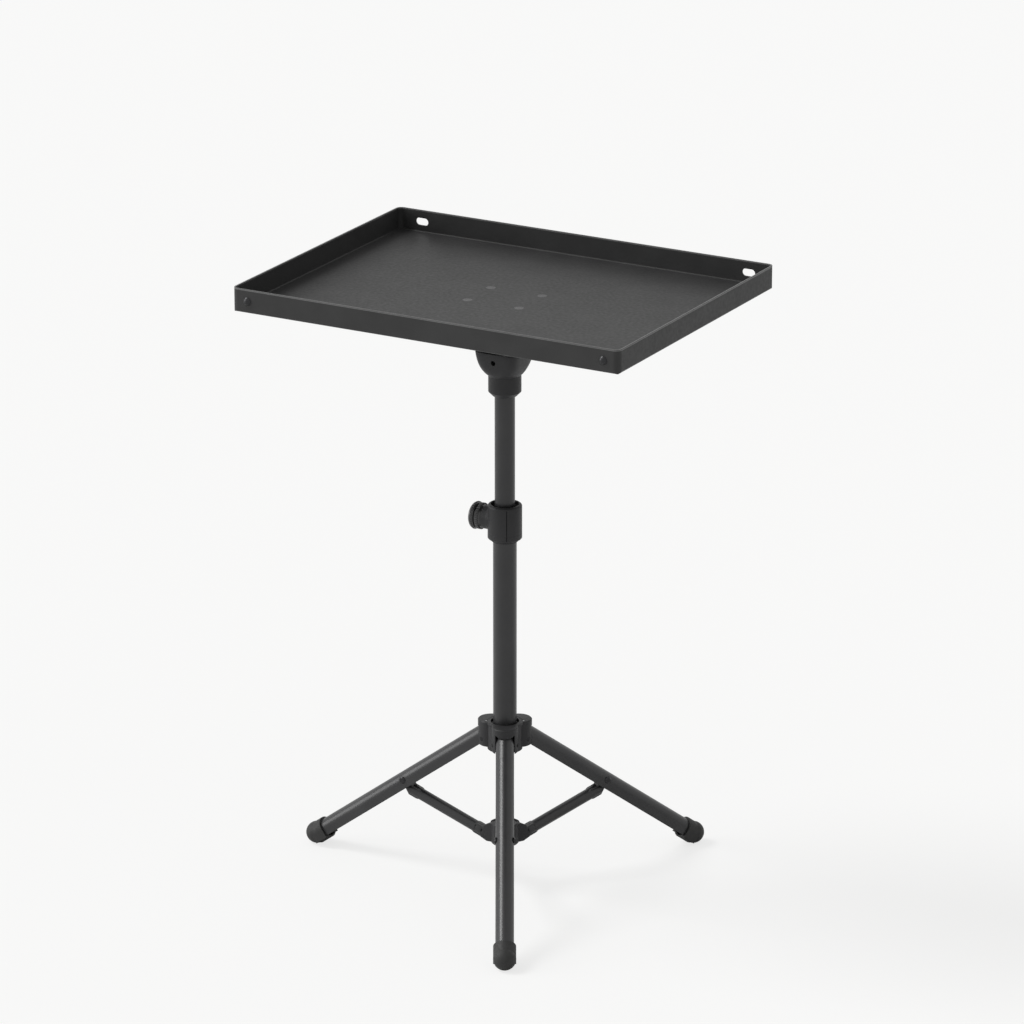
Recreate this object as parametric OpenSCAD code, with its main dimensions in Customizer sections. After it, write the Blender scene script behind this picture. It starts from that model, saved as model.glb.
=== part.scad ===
// Tripod stand with a tilting equipment tray.
// The origin is on the column's axis at floor level, +Z is up, the tray's front edge runs along X
// and its front faces -Y. Leg 1 is the leg at the front.

/* [Column] */
// Outer diameter of the lower tube
lower_od = 22.2; // [20:0.1:28]
// Wall of both telescopic tubes
tube_wall = 1.2; // [0.8:0.1:1.8]
// Height of the lower tube's top end, inside the collar
lower_top_z = 357; // [340:1:420]
// Outer diameter of the upper tube
upper_od = 19; // [16:0.1:19.4]
// Height of the upper tube's lower end, inside the lower tube
upper_bottom_z = 240; // [235:1:260]
// Length of the guide bush at the upper tube's lower end
bush_length = 22; // [15:1:30]

/* [Height collar] */
// Outer diameter of the collar
collar_od = 32.2; // [30:0.1:38]
// Length of the collar's barrel above its skirt
collar_length = 32; // [28:1:40]
// Length of the slimmer skirt under the barrel
skirt_length = 4; // [2:0.5:8]
// Wall of the skirt
skirt_wall = 1.4; // [1:0.1:3]
// How far the lower tube reaches up into the collar
collar_seat = 13; // [8:1:16]
// Diameter of the recess in the collar's top
recess_d = 26.4; // [23:0.1:28]
// Depth of the recess in the collar's top
recess_depth = 4; // [2:0.5:5]
// Diameter of the side boss that takes the clamp screw
boss_d = 22.6; // [18:0.1:24]
// How far the boss stands out from the column's axis
boss_reach = 20.5; // [19:0.5:24]

/* [Clamp knob] */
// Outer diameter of the knob
knob_d = 25.2; // [20:0.1:32]
// Thickness of the knob without its dome
knob_thickness = 11; // [9:0.5:16]
// Height of the knob's domed face
knob_dome = 3.4; // [2:0.1:5]
// Width of the groove round the knob
knob_groove = 1.6; // [1:0.1:3]
// Diameter of the clamp screw
screw_d = 6; // [5:0.5:8]

/* [Head] */
// Distance of the socket's lower rim below the tray's underside
socket_drop = 92; // [85:0.5:110]
// Outer diameter of the socket
socket_od = 30.8; // [26:0.1:34]
// Length of the socket up to the yoke
socket_length = 20; // [16:1:26]
// Width of the yoke along X
yoke_w = 38; // [34:1:46]
// Depth of the yoke along Y
yoke_d = 40; // [34:1:46]
// Height of the yoke's closed cup
yoke_cup = 25; // [20:1:30]
// Thickness of each yoke ear
ear_t = 6; // [5:0.5:8]
// Height of the tilt axis above the yoke's underside
tilt_rise = 43; // [38:1:48]
// Diameter of the tilt bolt
tilt_bolt_d = 8; // [6:0.5:10]
// Diameter of the recessed screw in the yoke's front
yoke_screw_d = 4.8; // [3:0.1:6]

/* [Tray] */
// Width of the tray along X
tray_w = 400; // [300:5:450]
// Depth of the tray along Y
tray_d = 305; // [240:5:350]
// Height of the tray's walls
tray_h = 22.6; // [16:0.2:30]
// Sheet thickness of the tray
tray_t = 1.5; // [1:0.1:3]
// Height of the tray's underside
tray_z = 578; // [570:1:590]
// Radius of the tray's corners
tray_corner_r = 6; // [3:0.5:12]
// Distance of each front bolt from the tray's end
bolt_inset = 16; // [10:1:40]
// Head diameter of the front bolts
bolt_head_d = 8.4; // [6:0.2:12]
// Length of the slots in the back wall
slot_l = 13.5; // [8:0.5:30]
// Height of the slots in the back wall
slot_h = 7.2; // [4:0.2:10]
// Distance of each slot's middle from the tray's end
slot_inset = 26; // [14:1:50]

/* [Leg hub] */
// Height of the hub's top face
hub_top_z = 164.5; // [160:0.5:170]
// Height of the hub
hub_h = 25; // [22:0.5:30]
// Diameter of each round lobe
lobe_d = 25; // [23:0.5:30]
// Distance of each lobe's middle from the axis
lobe_r = 15; // [13:0.5:18]
// Distance of the leg pivots below the hub's top face
hub_pivot_drop = 17.87301; // [16:0.1:20]

/* [Legs] */
// Direction of leg 1, measured from +X
leg_1_angle = -61; // [-90:1:-30]
// Width of the leg channel
leg_w = 17.2; // [15:0.1:18]
// Height of the leg channel
leg_h = 15.5; // [14:0.1:17]
// Sheet thickness of the leg channel
leg_t = 1.4; // [1:0.1:1.8]
// Distance of the foot's middle from the axis
foot_r = 209; // [190:1:230]
// Radius of the rounded foot
foot_ball_r = 10.7; // [10:0.1:12]
// Length of the foot cap's sleeve on the leg
foot_sleeve = 14; // [8:1:24]
// Diameter of the pivot pins and rivets
pin_d = 4; // [3:0.5:4]

/* [Stays] */
// Diameter of the stays between the legs and the spider
stay_d = 11; // [9:0.5:12]
// Distance of the leg's stay pivot above the stay's centreline
stay_offset = 7.89877; // [7:0.1:9]
// Distance of the stay's leg pivot from the axis
stay_pivot_r = 108; // [105:0.5:110]
// Width of the stays' flattened ends
stay_end_w = 7; // [6:0.5:8]

/* [Spider] */
// Height of the stays' centreline where it leaves the spider
stay_z = 48.6; // [47:0.1:50]
// Distance from the axis where the spider's arms end
spider_r = 22.5; // [22:0.5:26]
// Distance of the spider's pivots from the axis
spider_pivot_r = 17.5; // [17:0.5:18.5]
// Diameter of the spider's pins
spider_pin_d = 3.5; // [3:0.1:3.8]
// Diameter of the spider's middle
spider_d = 26; // [22:1:30]
// Height of the spider's middle
spider_h = 21; // [18:0.5:26]
// Width of the spider's arms
spider_arm_w = 17; // [16:0.5:20]

/* [Hidden] */
$fn = 64;

// Clearance between pieces that are fixed to each other
seat_gap = 0.02;
// Radial clearance of a pin or shaft that turns in its hole
run_gap = 0.05;
// Radial clearance of the sliding tube
slide_gap = 0.3;
// Side clearance of a pivoting piece in its slot
side_gap = 0.4;
// How far a cut or a join reaches past the face that it meets
cut = 1;

paint = "#3a3a3b";
plastic = "#2b2b2c";
rubber = "#242424";
steel = "#5c5c5e";

lower_r = lower_od / 2;
upper_r = upper_od / 2;
collar_r = collar_od / 2;
skirt_r = lower_r + skirt_wall;
collar_bottom_z = lower_top_z - collar_seat;
barrel_z = collar_bottom_z + skirt_length;
collar_top_z = barrel_z + collar_length;
knob_z = barrel_z + collar_length / 2;
collar_chamfer = 3.2;
collar_round = 2.2;
bush_flange_h = 3;
bush_bore_r = 5;
screw_r = screw_d / 2;
knob_r = knob_d / 2;
knob_gap = 0.5;
knob_start = boss_reach + knob_gap;
knob_back_h = 5.28;
knob_back_round = 2.4;
knob_back_edge = 0.8;
knob_edge = 0.3;
knob_groove_depth = 1.8;
knob_face_edge = 1;
boss_flare = 1.8;
boss_flare_start = 15.5;
grip_depth = 8;
screw_seat = 6;

socket_z = tray_z - socket_drop;
socket_r = socket_od / 2;
socket_chamfer = 4;
socket_lip = 2;
yoke_z = socket_z + socket_length;
tilt_z = yoke_z + tilt_rise;
tilt_r = tilt_bolt_d / 2;
ear_r = 10;
yoke_side_round = 11;
yoke_front_round = 9;
yoke_corner_r = 7;
yoke_pocket_wall = 5;
yoke_pocket_z = 18;
yoke_screw_z = 12;
yoke_screw_l = 6;
yoke_screw_sink = 2.5;
tilt_bolt_end = 8;
tilt_nut_r = 7.5;
tilt_nut_h = 6.5;
tilt_head_r = 7.5;
tilt_head_top_r = 5.5;
tilt_head_h = 4.5;
knuckle_r = 11;
knuckle_flare = 4;
knuckle_w = yoke_w - 2 * ear_t - 2 * side_gap;
mast_seat = 4;
upper_top_z = yoke_z + mast_seat;
plate_w = 76;
plate_d = 66;
plate_t = 3;
plate_corner_r = 6;
plate_z = tray_z - plate_t;
mount_x = 54;
mount_y = 44;
mount_hole_r = 2.6;
mount_head_r = 4.6;
mount_head_gap = 0.1;
mount_nut_r = 4.4;
mount_nut_h = 4;
mount_end = 5;
tray_bend_r = 2.5;
bolt_hole_r = 2;
bolt_head_h = 2.6;
bolt_dome_r = (pow(bolt_head_d / 2, 2) + pow(bolt_head_h, 2)) / (2 * bolt_head_h);
bolt_end = 5;
bolt_nut_r = 3.8;
bolt_nut_h = 3.2;

hub_bottom_z = hub_top_z - hub_h;
lobe_rad = lobe_d / 2;
hub_core_r = 16.5;
hub_foot = 2;
hub_edge = 0.8;
plug_depth = 7;
hub_recess_r = 13.4;
hub_recess_depth = 3;
slot_w = leg_w + 2 * side_gap;
hub_wall = 1.8;
slot_r = lower_r + hub_wall;
hub_pin_inset = 1;

// Leg channel: its middle line passes through the foot's middle and at leg_pivot_n from the hub's pivot
foot_flat = 0.2;
foot_z = foot_ball_r - foot_flat;
foot_side_inset = 0.1;
foot_sole = 1.6;
pin_r = pin_d / 2;
leg_pivot_r = 18.5;
leg_pivot_n = -4.5;
leg_half = leg_h / 2;
leg_cheek = leg_w / 2;
leg_round_n = leg_half - leg_cheek;
leg_end_back = 4;
leg_end_front = 1;
hub_pivot = [leg_pivot_r, hub_top_z - hub_pivot_drop];
leg_run = foot_r - leg_pivot_r;
leg_rise = hub_pivot[1] - foot_z;
leg_slope = atan2(leg_rise, leg_run) - asin(leg_pivot_n / norm([leg_run, leg_rise]));
function leg_z(r) = foot_z + (foot_r - r) * tan(leg_slope);
function lift(n) = n / cos(leg_slope);
leg_length = leg_run * cos(leg_slope) + leg_rise * sin(leg_slope);
stay_pivot_n = 0.6;
leg_pivot = [stay_pivot_r, leg_z(stay_pivot_r) + lift(stay_pivot_n)];

// Stay: a round bar with flat ends, which nests in the leg channel when the legs are folded
stay_r = stay_d / 2;
stay_eye_r = 3.8;
stay_flat_inset = 0.3;
stay_flat_r = stay_r - stay_flat_inset;
stay_span = leg_pivot - [spider_r, stay_z];
stay_slope = atan2(stay_span[1], stay_span[0]) - asin(stay_offset / norm(stay_span));
stay_dir = [cos(stay_slope), sin(stay_slope)];
function stay_line(r) = stay_z + (r - spider_r) * tan(stay_slope);
spider_pivot = [spider_pivot_r, stay_line(spider_pivot_r)];
stay_reach = (leg_pivot - spider_pivot) * stay_dir;
stay_cone_start = 11;
stay_cone_inset = 0.5;
stay_flat_front = 13;
stay_cone_end = 14.5;
stay_overrun = 3;
stay_flat_back = 17;
// Turn of a stay in its leg between the open and the folded stand
stay_turn = 85;
nest_gap = 0.4;
// How far past the leg pivot a stay's piece of half width y may reach without meeting the channel's top
function nest_h(y) = leg_round_n + sqrt(pow(leg_cheek - leg_t, 2) - y * y) - stay_pivot_n - nest_gap;
// Ends of the play that the inner pivots need on the way, from the pin's place on the open stand
play_out = [2.05, -0.6];
play_in = [-1.5, 1.6];
play_gap = 0.4;

// Spider
spider_pin_r = spider_pin_d / 2;
eye_hole_r = spider_pin_r + play_gap;
spider_rise = 3.4;
spider_z = stay_z + spider_rise;
spider_end_h = 12.5;
spider_end_drop = 2.3;
spider_shoulder = 2.5;
spider_chamfer = 1;
spider_arm_inset = 1.4;
spider_side_play = 1.7;
spider_slot_w = stay_end_w + 2 * spider_side_play;
spider_slot_r = 9.2;
rivet_head_r = 3.6;
rivet_head_h = 1.3;

module leg_plane(k) {
    rotate([0, 0, leg_1_angle + 120 * (k - 1)]) children();
}

// Puts +Z along the leg, outward and down, and +X on the leg's underside
module along_leg(p) {
    translate([p[0], 0, p[1]]) rotate([0, 90 + leg_slope, 0]) children();
}

// A pin across the leg's plane at a point of that plane
module cross_pin(p, r, w) {
    translate([p[0], w / 2, p[1]]) rotate([90, 0, 0]) cylinder(r = r, h = w);
}

// A flat piece in the leg's plane, of the given width across it
module plane_plate(w) {
    translate([0, w / 2, 0]) rotate([90, 0, 0]) linear_extrude(w) children();
}

// Outline round two discs, with straight sides between them
module strap(p, rp, q, rq) {
    d = norm(q - p);
    a = atan2(q[1] - p[1], q[0] - p[0]);
    b = acos((rp - rq) / d);
    translate(p) circle(r = rp);
    translate(q) circle(r = rq);
    polygon([p + rp * [cos(a + b), sin(a + b)], q + rq * [cos(a + b), sin(a + b)],
             q + rq * [cos(a - b), sin(a - b)], p + rp * [cos(a - b), sin(a - b)]]);
}

// A round piece with chamfered edges
module turned(r, h, c) {
    rotate_extrude() polygon([[0, 0], [r - c, 0], [r, c], [r, h - c], [r - c, h], [0, h]]);
}

module tube(r, wall, h) {
    difference() {
        cylinder(r = r, h = h);
        translate([0, 0, -cut]) cylinder(r = r - wall, h = h + 2 * cut);
    }
}

module rounded_rect(w, d, r) {
    square([w - 2 * r, d], center = true);
    square([w, d - 2 * r], center = true);
    for (x = [-1, 1], y = [-1, 1]) translate([x * (w / 2 - r), y * (d / 2 - r)]) circle(r = r);
}

module round_slot(l, h) {
    square([l - h, h], center = true);
    for (x = [-1, 1]) translate([x * (l - h) / 2, 0]) circle(d = h);
}

module lower_tube() {
    color(paint) translate([0, 0, hub_bottom_z]) tube(lower_r, tube_wall, lower_top_z - hub_bottom_z);
}

module hub_slot() {
    intersection() {
        translate([slot_r, -slot_w / 2, hub_bottom_z - hub_foot - cut])
            cube([2 * lobe_d, slot_w, hub_h + hub_foot + 2 * cut]);
        along_leg([leg_pivot_r, leg_z(leg_pivot_r)])
            translate([-leg_half - side_gap, -slot_w / 2, -2 * lobe_d])
            cube([6 * lobe_d, slot_w, 6 * lobe_d]);
    }
}

module leg_hub() {
    color(plastic) difference() {
        union() {
            translate([0, 0, hub_bottom_z - hub_foot]) cylinder(r = hub_core_r, h = hub_h + hub_foot);
            for (k = [1:3]) leg_plane(k) translate([lobe_r, 0, hub_bottom_z])
                turned(lobe_rad, hub_h, hub_edge);
        }
        translate([0, 0, hub_bottom_z - hub_foot - cut])
            cylinder(r = lower_r + seat_gap, h = hub_h + hub_foot + 2 * cut);
        translate([0, 0, hub_top_z - hub_recess_depth]) cylinder(r = hub_recess_r, h = hub_recess_depth + cut);
        for (k = [1:3]) leg_plane(k) {
            hub_slot();
            cross_pin(hub_pivot, pin_r + seat_gap, 2 * lobe_d);
        }
    }
}

module hub_pins() {
    color(steel) for (k = [1:3]) leg_plane(k) cross_pin(hub_pivot, pin_r, lobe_d - 2 * hub_pin_inset);
}

module tube_plug() {
    color(plastic) translate([0, 0, hub_bottom_z - hub_foot]) {
        cylinder(r = lower_r - seat_gap, h = hub_foot - seat_gap);
        cylinder(r = lower_r - tube_wall - seat_gap, h = plug_depth);
    }
}

module height_collar() {
    color(plastic) difference() {
        union() {
            rotate_extrude() polygon([
                [0, collar_bottom_z], [skirt_r, collar_bottom_z], [skirt_r, barrel_z - cut],
                [collar_r - collar_chamfer, barrel_z], [collar_r, barrel_z + collar_chamfer],
                [collar_r, collar_top_z - collar_round],
                for (a = [15:15:90]) [collar_r - collar_round * (1 - cos(a)),
                                      collar_top_z - collar_round * (1 - sin(a))],
                [0, collar_top_z]]);
            translate([0, 0, knob_z]) rotate([0, -90, 0]) {
                cylinder(d = boss_d, h = boss_reach);
                cylinder(d1 = boss_d + 2 * boss_flare, d2 = boss_d, h = boss_flare_start);
            }
        }
        translate([0, 0, collar_bottom_z - cut]) cylinder(r = lower_r + seat_gap, h = collar_seat + cut);
        translate([0, 0, collar_bottom_z]) cylinder(r = upper_r + slide_gap, h = collar_length + 2 * skirt_length);
        translate([0, 0, collar_top_z - recess_depth]) cylinder(d = recess_d, h = recess_depth + cut);
        translate([0, 0, knob_z]) rotate([0, -90, 0]) cylinder(r = screw_r + run_gap, h = boss_reach + cut);
    }
}

module guide_bush() {
    color(plastic) translate([0, 0, upper_bottom_z]) difference() {
        union() {
            cylinder(r = lower_r - tube_wall - slide_gap, h = bush_flange_h);
            cylinder(r = upper_r - tube_wall - run_gap, h = bush_length);
        }
        translate([0, 0, -cut]) cylinder(r = bush_bore_r, h = bush_length + 2 * cut);
    }
}

module upper_tube() {
    z0 = upper_bottom_z + bush_flange_h + slide_gap;
    color(paint) translate([0, 0, z0]) tube(upper_r, tube_wall, upper_top_z - z0);
}

module head_socket() {
    color(plastic) difference() {
        rotate_extrude() polygon([
            [0, socket_z], [upper_r + socket_lip, socket_z], [socket_r, socket_z + socket_chamfer],
            [socket_r, yoke_z], [0, yoke_z]]);
        translate([0, 0, socket_z - cut]) cylinder(r = upper_r + seat_gap, h = socket_length + 2 * cut);
    }
}

// Side outline of the yoke's cup, rounded at the bottom
module cup_outline(w, r) {
    translate([-w / 2, r]) square([w, yoke_cup - r]);
    translate([-w / 2 + r, 0]) square([w - 2 * r, r + cut]);
    for (x = [-1, 1]) translate([x * (w / 2 - r), r]) circle(r = r);
}

module tilt_yoke() {
    inner_w = yoke_w - 2 * ear_t;
    color(plastic) translate([0, 0, yoke_z]) difference() {
        union() {
            intersection() {
                translate([0, yoke_d / 2, 0]) rotate([90, 0, 0]) linear_extrude(yoke_d) cup_outline(yoke_w, yoke_side_round);
                translate([-yoke_w / 2, 0, 0]) rotate([90, 0, 90]) linear_extrude(yoke_w) cup_outline(yoke_d, yoke_front_round);
                linear_extrude(yoke_cup) rounded_rect(yoke_w, yoke_d, yoke_corner_r);
            }
            for (x = [-1, 1]) translate([x * (yoke_w - ear_t) / 2 - ear_t / 2, 0, 0]) rotate([90, 0, 90])
                linear_extrude(ear_t) {
                    translate([0, tilt_rise]) circle(r = ear_r);
                    polygon([[-ear_r, tilt_rise], [ear_r, tilt_rise], [yoke_d / 2 - yoke_corner_r, yoke_cup - cut],
                             [yoke_corner_r - yoke_d / 2, yoke_cup - cut]]);
                }
        }
        translate([0, 0, -cut]) cylinder(r = upper_r + seat_gap, h = upper_top_z - yoke_z + cut + seat_gap);
        translate([-inner_w / 2, yoke_pocket_wall - yoke_d / 2, yoke_pocket_z])
            cube([inner_w, yoke_d - 2 * yoke_pocket_wall, yoke_cup]);
        translate([-yoke_w, 0, tilt_rise]) rotate([0, 90, 0]) cylinder(r = tilt_r + seat_gap, h = 2 * yoke_w);
        translate([0, -upper_r, yoke_screw_z]) rotate([90, 0, 0]) cylinder(d = yoke_screw_d, h = yoke_d);
    }
}

module yoke_screw() {
    color(steel) translate([0, yoke_screw_sink - yoke_d / 2, yoke_z + yoke_screw_z]) rotate([-90, 0, 0])
        cylinder(r = yoke_screw_d / 2 - seat_gap, h = yoke_screw_l);
}

module tilt_bolt() {
    shank = yoke_w + tilt_bolt_end + seat_gap;
    color(steel) translate([-yoke_w / 2 - tilt_bolt_end, 0, tilt_z]) rotate([0, 90, 0]) {
        cylinder(r = tilt_r, h = shank);
        translate([0, 0, shank]) cylinder(r1 = tilt_head_r, r2 = tilt_head_top_r, h = tilt_head_h);
    }
}

module tilt_nut() {
    color(steel) translate([-yoke_w / 2 - seat_gap, 0, tilt_z]) rotate([0, -90, 0]) difference() {
        cylinder(r = tilt_nut_r, h = tilt_nut_h, $fn = 6);
        translate([0, 0, -cut]) cylinder(r = tilt_r + seat_gap, h = tilt_nut_h + 2 * cut);
    }
}

module tilt_knuckle() {
    color(plastic) difference() {
        union() {
            translate([0, 0, plate_z]) linear_extrude(plate_t - seat_gap) rounded_rect(plate_w, plate_d, plate_corner_r);
            translate([-knuckle_w / 2, 0, 0]) rotate([90, 0, 90]) linear_extrude(knuckle_w) {
                translate([0, tilt_z]) circle(r = knuckle_r);
                polygon([[-knuckle_r, tilt_z], [knuckle_r, tilt_z], [knuckle_r + knuckle_flare, plate_z + cut],
                         [-knuckle_r - knuckle_flare, plate_z + cut]]);
            }
        }
        translate([-yoke_w, 0, tilt_z]) rotate([0, 90, 0]) cylinder(r = tilt_r + run_gap, h = 2 * yoke_w);
        for (x = [-1, 1], y = [-1, 1]) translate([x * mount_x / 2, y * mount_y / 2, plate_z - cut])
            cylinder(r = mount_hole_r, h = plate_t + 2 * cut);
    }
}

module mount_screws() {
    color(steel) for (x = [-1, 1], y = [-1, 1]) translate([x * mount_x / 2, y * mount_y / 2, 0]) {
        translate([0, 0, tray_z + mount_head_gap])
            cylinder(r1 = mount_hole_r - seat_gap, r2 = mount_head_r - seat_gap, h = tray_t - mount_head_gap);
        translate([0, 0, plate_z - mount_end]) cylinder(r = mount_hole_r - seat_gap, h = mount_end + plate_t + tray_t / 2);
        translate([0, 0, plate_z - mount_nut_h - seat_gap]) cylinder(r = mount_nut_r, h = mount_nut_h, $fn = 6);
    }
}

// Side outline of a pan of the given width whose lower edges are bent with radius r
module pan_outline(w, r) {
    translate([-w / 2, r]) square([w, tray_h]);
    translate([r - w / 2, 0]) square([w - 2 * r, 2 * r]);
    for (x = [-1, 1]) translate([x * (w / 2 - r), r]) circle(r = r);
}

// A block with rounded corners and bent lower edges
module pan_block(w, d, corner, bend, h) {
    intersection() {
        linear_extrude(h) rounded_rect(w, d, corner);
        translate([0, d / 2, 0]) rotate([90, 0, 0]) linear_extrude(d) pan_outline(w, bend);
        translate([-w / 2, 0, 0]) rotate([90, 0, 90]) linear_extrude(w) pan_outline(d, bend);
    }
}

module tray_pan() {
    color(paint) translate([0, 0, tray_z]) difference() {
        pan_block(tray_w, tray_d, tray_corner_r, tray_bend_r, tray_h);
        translate([0, 0, tray_t]) pan_block(tray_w - 2 * tray_t, tray_d - 2 * tray_t, tray_corner_r - tray_t,
                                            tray_bend_r - tray_t, tray_h);
        for (x = [-1, 1], y = [-1, 1]) translate([x * mount_x / 2, y * mount_y / 2, 0]) {
            translate([0, 0, -cut]) cylinder(r = mount_hole_r, h = tray_t + 2 * cut);
            cylinder(r1 = mount_hole_r, r2 = mount_head_r, h = tray_t + seat_gap);
        }
        for (x = [-1, 1]) translate([x * (tray_w / 2 - slot_inset), tray_d / 2 + cut, tray_h / 2])
            rotate([90, 0, 0]) linear_extrude(tray_t + 2 * cut) round_slot(slot_l, slot_h);
        for (x = [-1, 1]) translate([x * (tray_w / 2 - bolt_inset), -tray_d / 2 - cut, tray_h / 2])
            rotate([-90, 0, 0]) cylinder(r = bolt_hole_r, h = tray_t + 2 * cut);
    }
}

module tray_bolts() {
    color(steel) for (x = [-1, 1])
        translate([x * (tray_w / 2 - bolt_inset), -tray_d / 2 - seat_gap, tray_z + tray_h / 2]) rotate([90, 0, 0]) {
            rotate_extrude() intersection() {
                translate([0, bolt_head_h - bolt_dome_r]) circle(r = bolt_dome_r);
                square([bolt_head_d / 2, bolt_head_h]);
            }
            translate([0, 0, -tray_t - bolt_end]) cylinder(r = bolt_hole_r - seat_gap, h = tray_t + bolt_end + cut);
            translate([0, 0, -tray_t - bolt_nut_h - 2 * seat_gap]) cylinder(r = bolt_nut_r, h = bolt_nut_h - seat_gap, $fn = 6);
        }
}

module clamp_knob() {
    groove_r = knob_r - knob_groove_depth;
    h1 = knob_back_h;
    h2 = h1 + knob_groove;
    face = knob_thickness - knob_face_edge;
    color(plastic) translate([-knob_start, 0, knob_z]) rotate([0, -90, 0]) difference() {
        rotate_extrude() polygon([
            [0, 0], [knob_r - knob_back_round, 0], [knob_r - knob_back_edge, h1 / 2], [knob_r - knob_edge, h1],
            [groove_r, h1 + knob_edge], [groove_r, h2 - knob_edge], [knob_r - knob_edge, h2],
            [knob_r, h2 + knob_back_edge], [knob_r, face],
            for (a = [15:15:75]) [knob_r * cos(a), face + (knob_dome + knob_face_edge) * sin(a)],
            [0, knob_thickness + knob_dome]]);
        translate([0, 0, -cut]) cylinder(r = screw_r + seat_gap, h = grip_depth);
    }
}

module clamp_screw() {
    tip = upper_r + slide_gap;
    color(steel) translate([-tip, 0, knob_z]) rotate([0, -90, 0]) cylinder(r = screw_r, h = knob_start - tip + screw_seat);
}

// Section of the leg channel, open on the underside, which is +X here
module leg_section() {
    difference() {
        union() {
            translate([-leg_round_n, 0]) circle(r = leg_cheek);
            translate([-leg_round_n, -leg_cheek]) square([leg_half + leg_round_n, leg_w]);
        }
        translate([-leg_round_n, 0]) circle(r = leg_cheek - leg_t);
        translate([-leg_round_n, leg_t - leg_cheek]) square([leg_h, leg_w - 2 * leg_t]);
    }
}

module leg(k) {
    top = leg_half - leg_pivot_n;
    color(paint) leg_plane(k) difference() {
        along_leg(hub_pivot) union() {
            translate([leg_pivot_n, 0, 0]) linear_extrude(leg_length - leg_end_front) leg_section();
            intersection() {
                translate([leg_pivot_n, 0, -leg_end_back]) linear_extrude(leg_end_back + cut) leg_section();
                rotate([90, 0, 0]) translate([0, 0, -leg_w]) cylinder(r = top, h = 2 * leg_w);
            }
        }
        cross_pin(hub_pivot, pin_r + run_gap, 2 * leg_w);
        cross_pin(leg_pivot, pin_r + seat_gap, 2 * leg_w);
    }
}

module foot(k) {
    color(rubber) leg_plane(k) intersection() {
        translate([0, -2 * foot_ball_r, 0]) cube([2 * foot_r, 4 * foot_ball_r, foot_r]);
        difference() {
            union() {
                translate([foot_r, 0, foot_z]) sphere(r = foot_ball_r);
                along_leg([foot_r, foot_z]) translate([0, 0, -foot_sleeve]) linear_extrude(foot_sleeve) {
                    translate([-leg_round_n, 0]) circle(r = foot_ball_r - foot_side_inset);
                    translate([-leg_round_n, foot_side_inset - foot_ball_r])
                        square([leg_half + leg_round_n + foot_sole, 2 * (foot_ball_r - foot_side_inset)]);
                }
            }
            along_leg([foot_r, foot_z]) translate([0, 0, -foot_sleeve - cut]) linear_extrude(foot_sleeve + cut) {
                translate([-leg_round_n, 0]) circle(r = leg_cheek + seat_gap);
                translate([-leg_round_n, -leg_cheek - seat_gap])
                    square([leg_half + leg_round_n + seat_gap, leg_w + 2 * seat_gap]);
            }
        }
    }
}

module stay_rivet(k) {
    color(steel) leg_plane(k) {
        cross_pin(leg_pivot, pin_r, leg_w + 2 * seat_gap);
        for (side = [-1, 1]) translate([leg_pivot[0], side * (leg_cheek + seat_gap), leg_pivot[1]])
            rotate([-90 * side, 0, 0]) cylinder(r1 = rivet_head_r, r2 = rivet_head_r - rivet_head_h, h = rivet_head_h);
    }
}

// The half plane past a line at distance h from p, square to the direction at angle a
module half_plane(p, a, h) {
    translate(p) rotate(a) translate([h, -leg_length]) square([leg_length, 2 * leg_length]);
}

module stay(k) {
    nest_angle = 90 - leg_slope - stay_turn;
    cone = spider_pivot + stay_cone_start * stay_dir;
    flat_in = spider_pivot + stay_flat_front * stay_dir;
    flat_out = spider_pivot + (stay_reach - stay_flat_back) * stay_dir;
    flat_end = spider_pivot + (stay_reach + stay_overrun) * stay_dir;
    link = spider_pivot + (stay_reach - 2 * stay_r) * stay_dir;
    color(paint) leg_plane(k) difference() {
        union() {
            difference() {
                translate([cone[0], 0, cone[1]]) rotate([0, 90 - stay_slope, 0]) {
                    cylinder(r1 = stay_end_w / 2 - stay_cone_inset, r2 = stay_r, h = stay_cone_end - stay_cone_start);
                    translate([0, 0, stay_cone_end - stay_cone_start])
                        cylinder(r = stay_r, h = stay_reach + stay_overrun - stay_cone_end);
                }
                plane_plate(2 * leg_w) half_plane(leg_pivot, nest_angle, nest_h(stay_r));
            }
            plane_plate(stay_end_w) {
                strap(spider_pivot, stay_flat_r, flat_in, stay_flat_r);
                difference() {
                    strap(flat_out, stay_flat_r, flat_end, stay_flat_r);
                    half_plane(leg_pivot, nest_angle, nest_h(stay_end_w / 2));
                }
                strap(leg_pivot, stay_eye_r, link, stay_eye_r);
            }
        }
        cross_pin(leg_pivot, pin_r + run_gap, 2 * leg_w);
        plane_plate(2 * leg_w) for (play = [play_in, play_out])
            strap(spider_pivot, eye_hole_r, spider_pivot + play, eye_hole_r);
    }
}

module spider() {
    low = spider_z - spider_h / 2;
    high = spider_z + spider_h / 2;
    end_low = [spider_r, stay_z - spider_end_drop];
    end_high = end_low + spider_end_h * [-sin(stay_slope), cos(stay_slope)];
    color(plastic) difference() {
        union() {
            translate([0, 0, low]) turned(spider_d / 2, spider_h, spider_chamfer);
            for (k = [1:3]) leg_plane(k) plane_plate(spider_arm_w)
                polygon([[0, low + spider_arm_inset], [spider_d / 2 + spider_shoulder, low + spider_arm_inset], end_low, end_high,
                         [spider_d / 2, high - spider_arm_inset], [0, high - spider_arm_inset]]);
        }
        for (k = [1:3]) leg_plane(k) {
            translate([spider_slot_r, -spider_slot_w / 2, low - cut]) cube([spider_d, spider_slot_w, spider_h + 2 * cut]);
            cross_pin(spider_pivot, spider_pin_r + seat_gap, 2 * leg_w);
        }
    }
}

module spider_pins() {
    color(steel) for (k = [1:3]) leg_plane(k) cross_pin(spider_pivot, spider_pin_r, spider_arm_w);
}

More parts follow.
